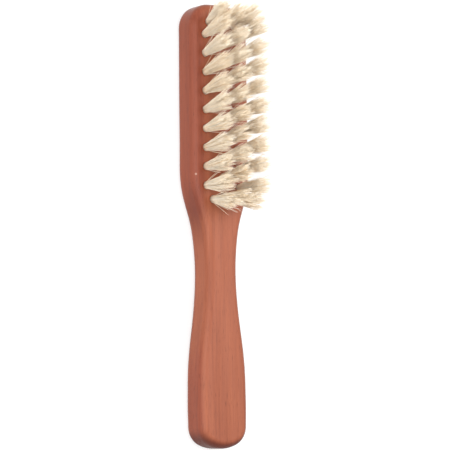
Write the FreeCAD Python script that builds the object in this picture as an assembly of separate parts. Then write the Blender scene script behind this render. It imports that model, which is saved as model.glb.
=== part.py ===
import FreeCAD, Part
import math
import os

# Beard brush. One piece of wood carries 32 bristle tufts, and each tuft is folded
# around a flat wire anchor driven into the bottom of a blind hole.
# Frame, in millimetres: X across the brush, Y along it with the head at +Y,
# Z up out of the bristle face. The flat back lies on Z = 0.

# ---- wooden body ----
LENGTH = 165.0
THICKNESS = 11.0
EDGE_ROUND = 3.0           # router radius round both faces
HEAD_END_HALF_WIDTH = 13.1
HEAD_END_RADIUS = 55.0
HEAD_CORNER_RADIUS = 9.0
GRIP_END_HALF_WIDTH = 10.75
GRIP_END_RADIUS = 15.5
GRIP_CORNER_RADIUS = 7.6
# Half-width and Y down one side: the head widens very slightly to its shoulder,
# narrows to the waist and widens again into the grip.
FLANK = (
    (13.18, 58.0),
    (13.26, 42.0),
    (13.3, 26.0),
    (12.9, 14.5),
    (11.3, 8.0),
    (9.0, 1.0),
    (7.45, -7.5),
    (6.85, -17.5),
    (7.25, -26.5),
    (8.35, -36.0),
    (9.7, -45.0),
    (10.6, -54.0),
    (10.83, -62.0),
    (10.85, -70.0),
)

# ---- bristle field ----
# Three staggered rows: the middle row stands between the columns of the outer two.
ROW_TUFTS = (9, 8, 9)
COLUMN_PITCH = 7.05
ROW_PITCH = 7.7
FIELD_CENTRE_Y = 42.2
# Three more tufts close each end of the field. For each: X, Y past the end of the
# outer rows, lean toward the head end and lean toward +X, in degrees.
HEAD_END = ((-5.9, 4.7, 14.0, -11.0), (0.0, 3.7, 18.0, 0.0), (5.9, 4.4, 14.0, 3.0))
NECK_END = ((-4.8, 5.0, -9.0, -5.0), (0.0, 3.9, -5.0, 0.0), (4.8, 4.7, -6.0, 4.0))

# ---- one tuft and its hole ----
HOLE_RADIUS = 1.5
HOLE_DEPTH = 6.5
ROOT_CLEARANCE = 0.02
TUFT_HEIGHT = 14.5         # bristle face to trimmed tips, along the tuft
ROW_TIP_RADIUS = 3.0
END_TIP_RADIUS = 1.65      # the end tufts have less room to spread
TIP_ROUND = 0.5            # softened rim of the trimmed tips
FLARE_START = 0.4          # height above the face where a tuft begins to flare
DRILL_OVERSHOOT = 1.0      # the drill starts above the face, so a tilted hole leaves no sliver
NET_LEAN_DEG = 6.5         # every tuft leans this much toward the head end
FAN_ALONG_DEG = 7.0        # outward lean of the first and last columns, along Y
FAN_ACROSS_DEG = 4.0       # outward lean of the two outer rows, along X

# ---- flat wire anchor ----
ANCHOR_WIDTH = 3.7
ANCHOR_HEIGHT = 1.6
ANCHOR_THICKNESS = 0.35
ANCHOR_LIFT = 0.7          # folded bristle left under the anchor


def end_cap(half_width, end_radius, corner_radius):
    """Half of a bowed end, tip first: the points of its end arc and corner arc.

    The tip is at the origin with the brush below it. The two arcs and the
    straight side are tangent to each other.
    """
    corner_x = half_width - corner_radius
    drop = math.sqrt((end_radius - corner_radius) ** 2 - corner_x ** 2)
    end_centre = FreeCAD.Vector(0, -end_radius, 0)
    corner_centre = FreeCAD.Vector(corner_x, drop - end_radius, 0)
    toward = FreeCAD.Vector(corner_x, drop, 0).normalize()
    join = end_centre + toward * end_radius
    middle = corner_centre + (toward + FreeCAD.Vector(1, 0, 0)).normalize() * corner_radius
    side = corner_centre + FreeCAD.Vector(corner_radius, 0, 0)
    return join, middle, side


def outline_face():
    """Plan outline: rounded-rectangle head, narrow waist, wider grip."""
    half_end = LENGTH / 2
    head = end_cap(HEAD_END_HALF_WIDTH, HEAD_END_RADIUS, HEAD_CORNER_RADIUS)
    grip = end_cap(GRIP_END_HALF_WIDTH, GRIP_END_RADIUS, GRIP_CORNER_RADIUS)
    head_join, head_middle, head_side = [FreeCAD.Vector(p.x, half_end + p.y, 0) for p in head]
    grip_join, grip_middle, grip_side = [FreeCAD.Vector(p.x, -half_end - p.y, 0) for p in grip]

    flank = Part.BSplineCurve()
    between = [FreeCAD.Vector(x, y, 0) for x, y in FLANK]
    down = FreeCAD.Vector(0, -1, 0)
    points = [head_side] + between + [grip_side]
    flank.interpolate(Points=points, InitialTangent=down, FinalTangent=down)

    right = [
        Part.Arc(head_join, head_middle, head_side).toShape(),
        flank.toShape(),
        Part.Arc(grip_side, grip_middle, grip_join).toShape(),
    ]
    mirror_plane = (FreeCAD.Vector(), FreeCAD.Vector(1, 0, 0))
    left = [edge.mirror(*mirror_plane) for edge in right]
    ends = []
    for join, tip_y in ((head_join, half_end), (grip_join, -half_end)):
        mirrored = FreeCAD.Vector(-join.x, join.y, 0)
        ends.append(Part.Arc(mirrored, FreeCAD.Vector(0, tip_y, 0), join).toShape())
    loop = Part.sortEdges(right + left + ends)[0]
    return Part.Face(Part.Wire(loop))


def tuft_layout():
    """Name, root position on the bristle face, axis and tip radius of every tuft."""
    half_field = (max(ROW_TUFTS) - 1) / 2 * COLUMN_PITCH
    places = []
    for row, count in enumerate(ROW_TUFTS):
        side = row - (len(ROW_TUFTS) - 1) / 2
        for number in range(count):
            y = ((count - 1) / 2 - number) * COLUMN_PITCH
            along = NET_LEAN_DEG + FAN_ALONG_DEG * y / half_field
            name = f"tuft_row{row + 1}_{number + 1:02d}"
            places.append((name, side * ROW_PITCH, y, along, side * FAN_ACROSS_DEG, ROW_TIP_RADIUS))
    for end, direction, closing in (("head", 1, HEAD_END), ("neck", -1, NECK_END)):
        for number, (x, past, along, across) in enumerate(closing, start=1):
            y = direction * (half_field + past)
            places.append((f"tuft_{end}_end_{number}", x, y, along, across, END_TIP_RADIUS))
    layout = []
    for name, x, y, along, across, tip_radius in places:
        root = FreeCAD.Vector(x, FIELD_CENTRE_Y + y, THICKNESS)
        axis = FreeCAD.Vector(math.tan(math.radians(across)), math.tan(math.radians(along)), 1)
        layout.append((name, root, axis.normalize(), tip_radius))
    return layout


def on_axis(shape, root, axis):
    """A shape drawn round +Z from the origin, moved to a tuft root and tilted."""
    turned = shape.copy()
    turned.Placement = FreeCAD.Placement(root, FreeCAD.Rotation(FreeCAD.Vector(0, 0, 1), axis))
    return turned


def tuft_blank(tip_radius):
    """A flared bundle standing on +Z, its cylindrical root below the origin."""
    root_radius = HOLE_RADIUS - ROOT_CLEARANCE
    bottom = FreeCAD.Vector(0, 0, -HOLE_DEPTH)
    bottom_rim = FreeCAD.Vector(root_radius, 0, -HOLE_DEPTH)
    mouth = FreeCAD.Vector(root_radius, 0, FLARE_START)
    shoulder = FreeCAD.Vector(tip_radius, 0, TUFT_HEIGHT - TIP_ROUND)
    rim = FreeCAD.Vector(tip_radius - TIP_ROUND, 0, TUFT_HEIGHT)
    top = FreeCAD.Vector(0, 0, TUFT_HEIGHT)
    corners = [bottom, bottom_rim, mouth, shoulder, rim, top, bottom]
    profile = Part.makePolygon(corners)
    return Part.Face(profile).revolve(FreeCAD.Vector(), FreeCAD.Vector(0, 0, 1), 360)


def anchor_blank(extra=0.0):
    """The flat wire across the bottom of a hole, grown by extra on its thin faces."""
    width = ANCHOR_WIDTH
    thickness = ANCHOR_THICKNESS + 2 * extra
    height = ANCHOR_HEIGHT + 2 * extra
    corner = FreeCAD.Vector(-width / 2, -thickness / 2, ANCHOR_LIFT - HOLE_DEPTH - extra)
    return Part.makeBox(width, thickness, height, corner)


def make_body(layout):
    blank = outline_face().extrude(FreeCAD.Vector(0, 0, THICKNESS))
    rims = [e for e in blank.Edges if e.BoundBox.ZLength < 0.01]
    body = blank.makeFillet(EDGE_ROUND, rims)
    drill = Part.makeCylinder(HOLE_RADIUS, HOLE_DEPTH + DRILL_OVERSHOOT, FreeCAD.Vector(0, 0, -HOLE_DEPTH))
    cutters = []
    for _, root, axis, _ in layout:
        cutters.append(on_axis(drill, root, axis))
        cutters.append(on_axis(anchor_blank(), root, axis))
    return body.cut(cutters).Solids[0]


def export(shape, node):
    shape.exportStep(os.path.join("parts", node + ".step"))


os.makedirs("parts", exist_ok=True)
tufts = tuft_layout()
export(make_body(tufts), "body")

anchor_slot = anchor_blank(ROOT_CLEARANCE)
for name, root, axis, tip_radius in tufts:
    export(on_axis(tuft_blank(tip_radius).cut(anchor_slot), root, axis), name)

anchors = [on_axis(anchor_blank(), root, axis) for _, root, axis, _ in tufts]
export(Part.makeCompound(anchors), "anchors")
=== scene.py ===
"""Beard brush: satin reddish wood with tufts of pale natural bristle.

Frame, in metres: X across the brush, Y along it with the head at +Y, Z up out
of the bristle face. The brush lies on its flat back.
"""

import math

import bpy
import numpy as np
from mathutils import Matrix, Vector


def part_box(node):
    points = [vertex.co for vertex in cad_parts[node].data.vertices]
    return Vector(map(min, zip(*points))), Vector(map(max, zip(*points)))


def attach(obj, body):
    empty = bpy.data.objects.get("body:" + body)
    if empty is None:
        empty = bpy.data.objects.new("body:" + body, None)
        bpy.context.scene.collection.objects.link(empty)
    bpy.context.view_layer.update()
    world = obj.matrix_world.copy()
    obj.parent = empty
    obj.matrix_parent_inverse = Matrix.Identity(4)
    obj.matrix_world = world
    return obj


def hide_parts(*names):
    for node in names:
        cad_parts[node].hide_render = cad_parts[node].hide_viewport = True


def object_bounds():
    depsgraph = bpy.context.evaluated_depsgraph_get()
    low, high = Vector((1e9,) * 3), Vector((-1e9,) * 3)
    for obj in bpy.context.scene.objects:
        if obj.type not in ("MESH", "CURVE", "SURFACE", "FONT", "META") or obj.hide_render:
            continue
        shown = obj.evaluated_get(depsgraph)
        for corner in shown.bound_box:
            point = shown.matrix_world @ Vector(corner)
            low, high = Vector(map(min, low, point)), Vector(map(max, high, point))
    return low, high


MM = 0.001

# ---- camera ----
VIEW_ROUND_DEG = 38.0        # turned about the brush's length, toward its -X side
VIEW_DOWN_DEG = 5.5          # and a little toward the grip
VIEW_ROLL_DEG = -0.735
VIEW_DISTANCE = 0.75
VIEW_WIDTH = 0.1672          # width of the view at that distance
VIEW_SHIFT_RIGHT = 3.83 * MM # aim point, off the brush's centre
VIEW_SHIFT_UP = 0.14 * MM
SENSOR_MM = 36.0

# ---- bristles ----
BRISTLES_PER_TUFT = 330
BRISTLE_RADIUS = 0.068 * MM
BRISTLE_SIDES = 4
BRISTLE_RINGS = 8
TIP_THINNING = 0.5           # how much thinner a bristle is at its tip
HIDDEN_ROOT = 1.5 * MM       # length modelled inside the hole
ROOT_FILL = 0.78             # the bundle's radius at the hole, as a share of the tuft's
FLARE_DEG = 10.0             # lean of a bristle at the tuft's full radius, from its axis
LOCKS_PER_TUFT = 16          # bristles gather in small locks toward their tips
LOCK_PULL = 0.65
STRAY_SHARE = 0.09
LONGEST = 1.19               # the longest middle bristles, as a share of the tuft's height
OUTER_SHORTER = 0.05         # outer bristles are this much shorter than the middle ones
RAGGED = 0.17                # spread of the bristle lengths

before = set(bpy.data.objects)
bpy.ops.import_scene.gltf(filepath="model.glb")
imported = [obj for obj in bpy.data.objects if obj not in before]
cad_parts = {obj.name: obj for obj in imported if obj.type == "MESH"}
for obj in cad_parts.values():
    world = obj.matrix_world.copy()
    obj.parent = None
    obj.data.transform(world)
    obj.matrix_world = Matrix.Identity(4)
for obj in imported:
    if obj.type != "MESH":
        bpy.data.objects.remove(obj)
cad_low, cad_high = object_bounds()
body_low, body_high = [Vector(corner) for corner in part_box("body")]
FACE_Z = body_high.z
SIDE_X = body_low.x          # the head's edge on the -X side
PIN_KNOT = Vector((SIDE_X + 1.4 * MM, 18.0 * MM, FACE_Z - 0.9 * MM))


# ---------------------------------------------------------------- node helpers

def new_material(name):
    """A material with an empty Principled shader; returns it, its tree and the shader."""
    material = bpy.data.materials.new(name)
    material.use_nodes = True
    tree = material.node_tree
    return material, tree, tree.nodes["Principled BSDF"]


def add_node(tree, kind, settings=None, inputs=None):
    """One shader node. Inputs are plain values, or sockets to link from."""
    node = tree.nodes.new("ShaderNode" + kind)
    for key, value in (settings or {}).items():
        setattr(node, key, value)
    for key, value in (inputs or {}).items():
        if isinstance(value, bpy.types.NodeSocket):
            tree.links.new(value, node.inputs[key])
        else:
            node.inputs[key].default_value = value
    return node


def math_node(tree, operation, first, second=0.0, third=0.0):
    node = add_node(tree, "Math", {"operation": operation}, {0: first, 1: second, 2: third})
    return node.outputs[0]


def noise(tree, vector, scale, detail=3.0, roughness=0.5, distortion=0.0):
    node = add_node(tree, "TexNoise", None, {
        "Vector": vector, "Scale": scale, "Detail": detail,
        "Roughness": roughness, "Distortion": distortion})
    return node.outputs["Fac"]


def stretched(tree, vector, scale, rotation=(0.0, 0.0, 0.0)):
    node = add_node(tree, "Mapping", None, {"Vector": vector, "Scale": scale, "Rotation": rotation})
    return node.outputs["Vector"]


def ramp(tree, factor, stops):
    """A colour ramp from (position, colour) stops."""
    node = add_node(tree, "ValToRGB", None, {"Fac": factor})
    elements = node.color_ramp.elements
    while len(elements) < len(stops):
        elements.new(0.5)
    for element, (position, colour) in zip(elements, stops):
        element.position = position
        element.color = (*colour, 1.0)
    return node.outputs["Color"]


def remap(tree, value, from_low, from_high, to_low=0.0, to_high=1.0):
    node = add_node(tree, "MapRange", {"interpolation_type": "SMOOTHSTEP"}, {
        "Value": value, "From Min": from_low, "From Max": from_high,
        "To Min": to_low, "To Max": to_high})
    return node.outputs["Result"]


def mix_colour(tree, factor, first, second, blend="MIX"):
    node = add_node(tree, "Mix", {"data_type": "RGBA", "blend_type": blend}, {
        0: factor, 6: first, 7: second})
    return node.outputs[2]


def rgba(red, green, blue):
    return (red, green, blue, 1.0)


# ------------------------------------------------------------------- materials

def wood_material():
    """Oiled, reddish close-grained wood with its grain along Y."""
    material, tree, shader = new_material("oiled_wood")
    position = add_node(tree, "TexCoord").outputs["Object"]
    normal = add_node(tree, "NewGeometry").outputs["Normal"]
    facing = add_node(tree, "SeparateXYZ", None, {0: normal})

    along = stretched(tree, position, (1.0, 0.035, 1.0), (0.0, 0.0, 0.012))
    streaks = noise(tree, along, 1500.0, 5.0, 0.62)
    bands = noise(tree, along, 230.0, 3.0, 0.5, 0.4)
    clouds = noise(tree, stretched(tree, position, (1.0, 0.3, 1.0)), 60.0, 2.0)
    flecks = noise(tree, stretched(tree, position, (1.0, 0.07, 1.0)), 4200.0, 1.0)
    pores = remap(tree, flecks, 0.63, 0.74)

    tone = math_node(tree, "MULTIPLY_ADD", streaks, 0.45, math_node(tree, "MULTIPLY", bands, 0.55))
    colour = ramp(tree, tone, (
        (0.30, (0.201, 0.047, 0.0185)),
        (0.50, (0.270, 0.072, 0.0325)),
        (0.70, (0.334, 0.098, 0.0480))))
    warm = ramp(tree, clouds, ((0.35, (0.93, 0.90, 0.90)), (0.65, (1.05, 1.06, 1.04))))
    colour = mix_colour(tree, 1.0, colour, warm, "MULTIPLY")
    colour = mix_colour(tree, math_node(tree, "MULTIPLY", pores, 0.40), colour, rgba(0.07, 0.017, 0.008))

    # A paler, less red band near the middle of the face, fading toward the grip's end, is a painted
    # highlight;
    # a darker band down the head's -X edge is painted shade.
    wander = math_node(tree, "MULTIPLY_ADD", bands, 8.0 * MM, -4.0 * MM)
    place = add_node(tree, "SeparateXYZ", None, {0: position})
    sideways = math_node(tree, "ADD", place.outputs["X"], wander)
    off_painted_highlight = math_node(tree, "ABSOLUTE", math_node(tree, "ADD", sideways, 2.0 * MM))
    middle = remap(tree, off_painted_highlight, 2.0 * MM, 7.5 * MM, 0.75, 0.0)
    fading = remap(tree, place.outputs["Y"], body_low.y + 10.0 * MM, body_low.y + 60.0 * MM, 0.10, 1.0)
    middle = math_node(tree, "MULTIPLY", middle, fading)
    colour = mix_colour(tree, middle, colour, rgba(1.22, 1.34, 1.40), "MULTIPLY")
    # Painted shade: the tufts keep light off the -X edge, so it is darkened and tinted purplish.
    edge = remap(tree, sideways, SIDE_X + 2.5 * MM, SIDE_X + 5.5 * MM, 0.8, 0.0)
    colour = mix_colour(tree, edge, colour, rgba(0.90, 0.78, 0.88), "MULTIPLY")

    # End grain drinks more oil and is darker; the stronger darkening at the grip's end is painted shade, as
    # the light falls from the head's end.
    toward_grip_end = math_node(tree, "MULTIPLY", facing.outputs["Y"], -1.0)
    grip_end = remap(tree, toward_grip_end, 0.05, 0.70, 0.0, 0.90)
    head_end = remap(tree, facing.outputs["Y"], 0.45, 0.95, 0.0, 0.40)
    end_grain_and_painted_shade = math_node(tree, "MAXIMUM", grip_end, head_end)
    colour = mix_colour(tree, end_grain_and_painted_shade, colour, rgba(0.090, 0.016, 0.008))

    # One tiny pale pin knot beside the bristles.
    from_knot = add_node(tree, "VectorMath", {"operation": "DISTANCE"}, {0: position, 1: PIN_KNOT})
    knot = remap(tree, from_knot.outputs["Value"], 0.25 * MM, 0.60 * MM, 0.75, 0.0)
    colour = mix_colour(tree, knot, colour, rgba(0.60, 0.42, 0.34))
    tree.links.new(colour, shader.inputs["Base Color"])

    roughness = remap(tree, streaks, 0.3, 0.7, 0.50, 0.64)
    tree.links.new(roughness, shader.inputs["Roughness"])
    shader.inputs["Specular IOR Level"].default_value = 0.28
    shader.inputs["Coat Weight"].default_value = 0.04
    shader.inputs["Coat Roughness"].default_value = 0.30
    sheen = remap(tree, facing.outputs["Y"], -0.60, -0.10, 0.0, 0.30)
    tree.links.new(sheen, shader.inputs["Sheen Weight"])
    shader.inputs["Sheen Roughness"].default_value = 0.30

    relief = math_node(tree, "SUBTRACT", math_node(tree, "MULTIPLY", streaks, 0.5), pores)
    bump = add_node(tree, "Bump", None, {"Strength": 0.25, "Distance": 0.06 * MM, "Height": relief})
    waves = noise(tree, stretched(tree, position, (1.0, 0.25, 1.0)), 110.0, 1.0)
    hand_sanded = add_node(tree, "Bump", None, {
        "Strength": 0.5, "Distance": 0.35 * MM, "Height": waves, "Normal": bump.outputs["Normal"]})
    tree.links.new(hand_sanded.outputs["Normal"], shader.inputs["Normal"])
    return material


def bristle_material():
    """Bleached natural bristle, each hair its own shade; warmer toward its root as painted warm bounce light
    and painted shade.
    """
    material, tree, shader = new_material("pale_bristle")
    shade = add_node(tree, "Attribute", {"attribute_name": "shade"}).outputs["Fac"]
    along = add_node(tree, "Attribute", {"attribute_name": "along"}).outputs["Fac"]
    position = add_node(tree, "TexCoord").outputs["Object"]

    hair = ramp(tree, shade, (
        (0.00, (0.62, 0.42, 0.22)),
        (0.15, (0.88, 0.70, 0.47)),
        (0.50, (0.97, 0.86, 0.68)),
        (1.00, (0.99, 0.94, 0.83))))
    # Painted warm bounce light from the wood and painted shade near the roots, paler toward the lit tips.
    length = ramp(tree, along, (
        (0.00, (0.97, 0.84, 0.74)),
        (0.30, (1.00, 0.98, 0.96)),
        (0.75, (0.99, 0.96, 0.93)),
        (1.00, (1.00, 1.00, 1.02))))
    colour = mix_colour(tree, 1.0, hair, length, "MULTIPLY")
    mottle = noise(tree, position, 900.0, 2.0)
    mottled = ramp(tree, mottle, ((0.35, (0.93, 0.92, 0.90)), (0.65, (1.03, 1.03, 1.03))))
    colour = mix_colour(tree, 1.0, colour, mottled, "MULTIPLY")
    tree.links.new(colour, shader.inputs["Base Color"])
    tree.links.new(remap(tree, mottle, 0.3, 0.7, 0.42, 0.58), shader.inputs["Roughness"])
    bump = add_node(tree, "Bump", None, {"Strength": 0.2, "Distance": 0.01 * MM, "Height": mottle})
    tree.links.new(bump.outputs["Normal"], shader.inputs["Normal"])
    shader.inputs["Specular IOR Level"].default_value = 0.3
    return material


def wire_material():
    """Flat drawn steel wire, hidden in the holes."""
    material, tree, shader = new_material("drawn_wire")
    position = add_node(tree, "TexCoord").outputs["Object"]
    drawn = noise(tree, stretched(tree, position, (0.08, 1.0, 1.0)), 9000.0, 2.0)
    colour = ramp(tree, drawn, ((0.3, (0.42, 0.42, 0.41)), (0.7, (0.62, 0.61, 0.60))))
    tree.links.new(colour, shader.inputs["Base Color"])
    tree.links.new(remap(tree, drawn, 0.3, 0.7, 0.25, 0.45), shader.inputs["Roughness"])
    shader.inputs["Metallic"].default_value = 1.0
    return material


def floor_material():
    """Plain pale studio sweep."""
    material, tree, shader = new_material("pale_floor")
    position = add_node(tree, "TexCoord").outputs["Object"]
    paper = noise(tree, position, 40.0, 2.0)
    colour = ramp(tree, paper, ((0.3, (0.34, 0.34, 0.34)), (0.7, (0.36, 0.36, 0.36))))
    tree.links.new(colour, shader.inputs["Base Color"])
    shader.inputs["Roughness"].default_value = 0.9
    shader.inputs["Specular IOR Level"].default_value = 0.0
    shader.inputs["Emission Color"].default_value = rgba(1.0, 1.0, 1.0)
    shader.inputs["Emission Strength"].default_value = 0.66
    return material


# -------------------------------------------------------------------- bristles

MOUTH_BAND = 2.0 * MM        # points this near the bristle face belong to a tuft's mouth


class Tuft:
    """Where one CAD tuft stands: its root on the bristle face, axis and sizes."""

    def __init__(self, node):
        points = np.unique(np.round([tuple(v.co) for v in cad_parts[node].data.vertices], 7), axis=0)
        mouth = points[np.abs(points[:, 2] - FACE_Z) < MOUTH_BAND]
        upper = points[points[:, 2] > (FACE_Z + points[:, 2].max()) / 2]
        line = upper.mean(axis=0) - mouth.mean(axis=0)
        self.axis = line / np.linalg.norm(line)
        centre = mouth.mean(axis=0)
        self.root = centre + self.axis * (FACE_Z - centre[2]) / self.axis[2]
        heights = (points - self.root) @ self.axis
        self.height = heights.max()
        self.root_radius = np.linalg.norm(mouth - centre, axis=1).mean()
        side = np.cross((0.0, 1.0, 0.0), self.axis)
        self.side = side / np.linalg.norm(side)
        self.front = np.cross(self.axis, self.side)


def disc_points(random, count, radius):
    """Evenly scattered points on a disc."""
    reach = radius * np.sqrt(random.random(count))
    turn = random.random(count) * 2 * math.pi
    return np.stack([reach * np.cos(turn), reach * np.sin(turn)], axis=1)


def bristle_centrelines(tuft, random):
    """Points along every bristle of a tuft: bristle, ring, xyz."""
    count = BRISTLES_PER_TUFT
    roots = disc_points(random, count, tuft.root_radius * ROOT_FILL)
    flare = math.tan(math.radians(FLARE_DEG)) / tuft.root_radius
    spread = random.uniform(0.8, 1.2, (count, 1))
    slopes = roots * flare * spread + random.normal(0, 0.024, (count, 2))
    bends = random.normal(0, 0.03, (count, 2))

    lock_roots = disc_points(random, LOCKS_PER_TUFT, tuft.root_radius)
    lock_slopes = lock_roots * flare + random.normal(0, 0.030, (LOCKS_PER_TUFT, 2))
    nearest = np.argmin(np.linalg.norm(roots[:, None] - lock_roots[None], axis=2), axis=1)
    lock_tips = (lock_roots + lock_slopes * tuft.height)[nearest]

    stray = random.random(count) < STRAY_SHARE
    slopes[stray] += random.normal(0, 0.11, (stray.sum(), 2))
    pull = np.where(stray, 0.0, LOCK_PULL * random.uniform(0.4, 1.0, count))

    outward = np.linalg.norm(roots, axis=1) / tuft.root_radius
    shorter = OUTER_SHORTER * outward ** 2 + np.abs(random.normal(0, RAGGED, count))
    lengths = tuft.height * (LONGEST - shorter)

    steps = np.linspace(0.0, 1.0, BRISTLE_RINGS)[None, :]
    climb = -HIDDEN_ROOT + steps * (lengths[:, None] + HIDDEN_ROOT)
    above = np.maximum(climb, 0.0)
    share = above / tuft.height
    flat = roots[:, None] + slopes[:, None] * above[..., None] + bends[:, None] * (above * share)[..., None]
    lock_starts = lock_roots[nearest]
    lock_line = lock_starts[:, None] + (lock_tips - lock_starts)[:, None] * share[..., None]
    flat += (lock_line - flat) * (pull[:, None] * share ** 2)[..., None]
    return (tuft.root + climb[..., None] * tuft.axis
            + flat[..., :1] * tuft.side + flat[..., 1:] * tuft.front)


def tube_mesh(name, lines, shades, random):
    """Closed tapered tubes round the centre lines, with shade and along attributes."""
    count, rings, _ = lines.shape
    runs = np.gradient(lines, axis=1)
    runs /= np.linalg.norm(runs, axis=2, keepdims=True)
    across = np.cross(runs, (1.0, 0.0, 0.0))
    across /= np.linalg.norm(across, axis=2, keepdims=True)
    beside = np.cross(runs, across)
    thickness = BRISTLE_RADIUS * random.uniform(0.75, 1.2, (count, 1, 1))
    along = np.linspace(0.0, 1.0, rings)
    taper = (1.0 - TIP_THINNING * along ** 2)[None, :, None]
    twist = random.random((count, 1)) * 2 * math.pi

    sides = []
    for side in range(BRISTLE_SIDES):
        turn = twist + side * 2 * math.pi / BRISTLE_SIDES
        spoke = np.cos(turn)[..., None] * across + np.sin(turn)[..., None] * beside
        sides.append(lines + spoke * thickness * taper)
    tubes = np.stack(sides, axis=2)[:, :-1]
    tips = lines[:, -1]

    per_bristle = (rings - 1) * BRISTLE_SIDES + 1
    points = np.concatenate([tubes.reshape(count, -1, 3), tips[:, None]], axis=1).reshape(-1, 3)
    pattern = [tuple(reversed(range(BRISTLE_SIDES)))]
    for ring in range(rings - 2):
        for side in range(BRISTLE_SIDES):
            low = ring * BRISTLE_SIDES + side
            next_low = ring * BRISTLE_SIDES + (side + 1) % BRISTLE_SIDES
            pattern.append((low, next_low, next_low + BRISTLE_SIDES, low + BRISTLE_SIDES))
    last = (rings - 2) * BRISTLE_SIDES
    for side in range(BRISTLE_SIDES):
        pattern.append((last + side, last + (side + 1) % BRISTLE_SIDES, per_bristle - 1))
    faces = [tuple(start + corner for corner in face)
             for start in range(0, count * per_bristle, per_bristle) for face in pattern]

    mesh = bpy.data.meshes.new(name)
    mesh.from_pydata(points.tolist(), [], faces)
    ring_of_point = np.append(np.repeat(along[:-1], BRISTLE_SIDES), 1.0)
    for attribute, values in (("shade", np.repeat(shades, per_bristle)),
                              ("along", np.tile(ring_of_point, count))):
        mesh.attributes.new(attribute, "FLOAT", "POINT").data.foreach_set("value", values.astype(np.float32))
    mesh.shade_smooth()
    return mesh


def build_tuft(node, material, random):
    tuft = Tuft(node)
    lines = bristle_centrelines(tuft, random)
    shades = np.clip(random.normal(0.68, 0.25, BRISTLES_PER_TUFT) + random.normal(0, 0.04), 0.0, 1.0)
    mesh = tube_mesh("bristles_" + node, lines, shades, random)
    mesh.materials.append(material)
    piece = bpy.data.objects.new("bristles_" + node, mesh)
    bpy.context.collection.objects.link(piece)
    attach(piece, "root")
    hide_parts(node)


# ------------------------------------------------------------- studio and view

FLOOR_HALF_SIZE = 1.5
FLOOR_GAP = 0.02 * MM        # keeps the floor off the flat back


def build_floor():
    half = FLOOR_HALF_SIZE
    mesh = bpy.data.meshes.new("floor")
    corners = [(-half, -half, 0.0), (half, -half, 0.0), (half, half, 0.0), (-half, half, 0.0)]
    mesh.from_pydata(corners, [], [(0, 1, 2, 3)])
    mesh.materials.append(floor_material())
    floor = bpy.data.objects.new("floor", mesh)
    floor.location.z = cad_low[2] - FLOOR_GAP
    bpy.context.collection.objects.link(floor)


def area_light(name, location, size, energy, target):
    data = bpy.data.lights.new(name, "AREA")
    data.shape = "DISK"
    data.size = size
    data.energy = energy
    light = bpy.data.objects.new(name, data)
    light.location = location
    light.rotation_euler = (target - light.location).to_track_quat("-Z", "Y").to_euler()
    bpy.context.collection.objects.link(light)


def build_lights(centre):
    world = bpy.data.worlds.new("studio")
    world.use_nodes = True
    background = world.node_tree.nodes["Background"]
    background.inputs["Color"].default_value = rgba(1.0, 1.0, 1.0)
    background.inputs["Strength"].default_value = 0.58
    bpy.context.scene.world = world
    area_light("left", centre + Vector((-0.50, 0.00, 0.81)), 0.70, 5.6, centre)
    area_light("right", centre + Vector((0.45, 0.20, 0.81)), 0.70, 5.9, centre)
    area_light("low_left", centre + Vector((-0.84, 0.00, 0.45)), 0.60, 2.8, centre)
    bpy.context.scene.view_settings.view_transform = "Standard"


def build_camera(centre):
    turn = math.radians(VIEW_ROUND_DEG)
    down = math.radians(VIEW_DOWN_DEG)
    toward = Vector((-math.sin(turn) * math.cos(down), -math.sin(down), math.cos(turn) * math.cos(down)))
    level_right = Vector((0.0, 1.0, 0.0)).cross(toward).normalized()
    level_up = toward.cross(level_right)
    axes = Matrix((level_right, level_up, toward)).transposed()
    axes = axes @ Matrix.Rotation(math.radians(VIEW_ROLL_DEG), 3, "Z")
    target = centre + axes.col[0] * VIEW_SHIFT_RIGHT + axes.col[1] * VIEW_SHIFT_UP

    data = bpy.data.cameras.new("camera")
    data.sensor_width = SENSOR_MM
    data.lens = SENSOR_MM * VIEW_DISTANCE / VIEW_WIDTH
    data.clip_start = 0.01
    camera = bpy.data.objects.new("camera", data)
    camera.location = target + toward * VIEW_DISTANCE
    camera.rotation_euler = axes.to_euler()
    bpy.context.collection.objects.link(camera)
    bpy.context.scene.camera = camera


def set_material(node, material):
    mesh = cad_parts[node].data
    mesh.materials.clear()
    mesh.materials.append(material)


set_material("body", wood_material())
set_material("anchors", wire_material())
bristle = bristle_material()
tuft_nodes = sorted(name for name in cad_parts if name.startswith("tuft_"))
for number, tuft_node in enumerate(tuft_nodes):
    build_tuft(tuft_node, bristle, np.random.default_rng(100 + number))

body_centre = (body_low + body_high) / 2
build_floor()
build_lights(body_centre)
build_camera(body_centre)
